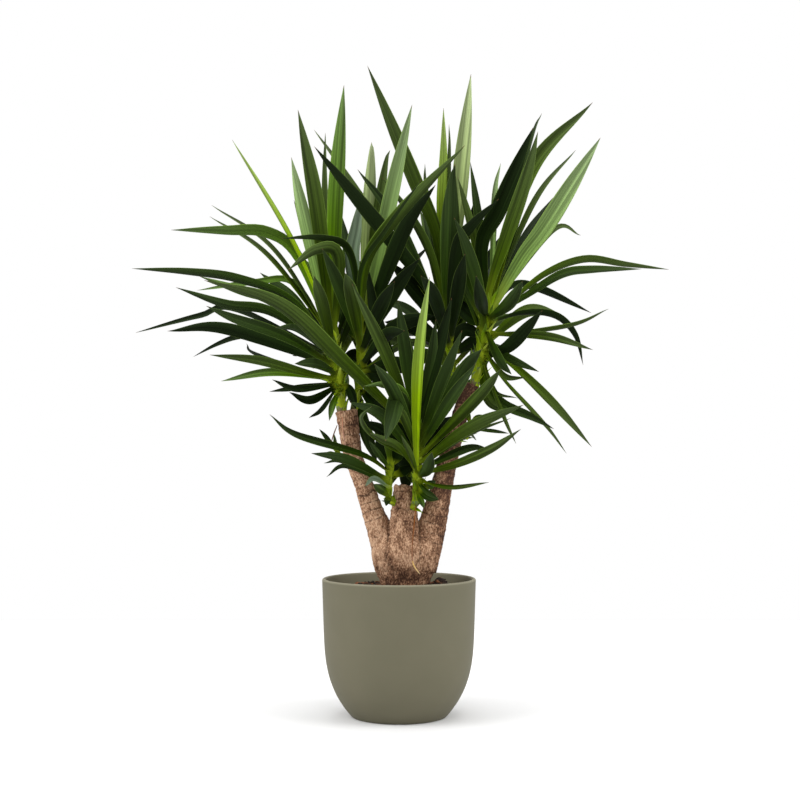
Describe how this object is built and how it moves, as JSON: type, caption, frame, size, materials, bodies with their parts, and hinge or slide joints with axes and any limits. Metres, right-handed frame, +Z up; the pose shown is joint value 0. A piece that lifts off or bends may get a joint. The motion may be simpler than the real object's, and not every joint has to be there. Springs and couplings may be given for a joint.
{
  "type": "potted yucca",
  "caption": "Branched yucca with sword-leaved heads on a three-caned trunk, in soil in a round-bellied ceramic pot.",
  "frame": {"origin": "middle of the pot's flat foot, on the surface it stands on", "axes": "+Z up along the pot's axis, -Y towards the front"},
  "size_m": [0.9793, 0.6441, 1.2052],
  "materials": {
    "pot": "matt",
    "soil": "crumbly potting soil",
    "bark": "rough",
    "leaf": "satin leaf"
  },
  "bodies": {
    "root": {"pot": "pot", "soil": "soil", "trunk": "bark", "left_head": "leaf", "centre_left_head": "leaf", "centre_right_head": "leaf", "right_head": "leaf", "front_head": "leaf", "low_left_shoot": "leaf", "low_right_shoot": "leaf", "cane_shoot": "leaf"}
  },
  "joints": []
}
